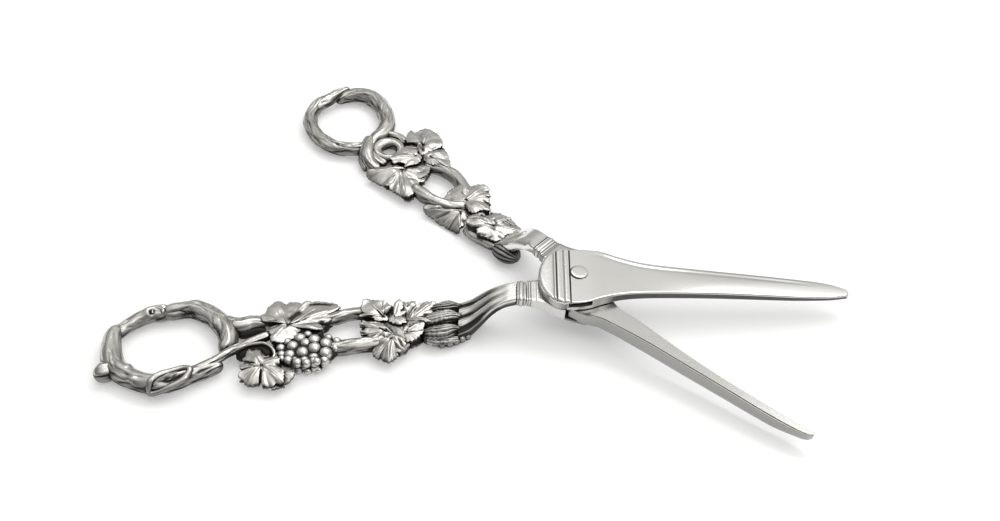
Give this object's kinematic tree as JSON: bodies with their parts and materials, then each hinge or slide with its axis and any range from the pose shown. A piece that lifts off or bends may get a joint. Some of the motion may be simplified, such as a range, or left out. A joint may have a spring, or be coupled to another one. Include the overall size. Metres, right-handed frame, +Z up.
{
  "type": "grape shears",
  "caption": "Silver grape shears with slender blades that cross at a rivet and cast vine handles ending in finger rings.",
  "frame": {"origin": "under the middle of the open shears, on the table they lie on", "axes": "+X from the finger rings to the blade tips, +Y from the upper lever's handle to the lower lever's handle, +Z up"},
  "size_m": [0.1668, 0.1264, 0.0139],
  "materials": {
    "polished_silver": "polished silver",
    "cast_silver": "cast silver with darkened hollows"
  },
  "bodies": {
    "upper_lever": {"upper_blade": "polished_silver", "upper_collar": "polished_silver", "upper_finger_ring": "cast_silver", "upper_grape_bunch": "cast_silver", "upper_husk": "cast_silver", "upper_inner_stem": "cast_silver", "upper_neck": "cast_silver", "upper_outer_stem": "cast_silver", "upper_ring_branch": "cast_silver", "upper_ring_stem": "cast_silver", "upper_rosette_leaf": "cast_silver", "upper_rosette_outer_leaf": "cast_silver", "upper_small_leaf": "cast_silver", "upper_tendril": "cast_silver", "upper_vine_leaf": "cast_silver", "pivot_rivet": "polished_silver"},
    "lower_lever": {"lower_blade": "polished_silver", "lower_broad_leaf": "cast_silver", "lower_cluster_leaf": "cast_silver", "lower_collar": "polished_silver", "lower_finger_ring": "cast_silver", "lower_folded_leaf": "cast_silver", "lower_front_leaf": "cast_silver", "lower_hanging_leaf": "cast_silver", "lower_husk": "cast_silver", "lower_inner_stem": "cast_silver", "lower_neck": "cast_silver", "lower_neck_leaf": "cast_silver", "lower_outer_stem": "cast_silver", "lower_ring_loop": "cast_silver"}
  },
  "joints": [
    {"name": "rivet_pivot", "type": "hinge", "parent": "upper_lever", "child": "lower_lever", "pos_m": [0.02056, -0.00003, 0.01025], "axis": [0.0819, 0, 0.9966], "range_deg": [-4, 40]}
  ]
}
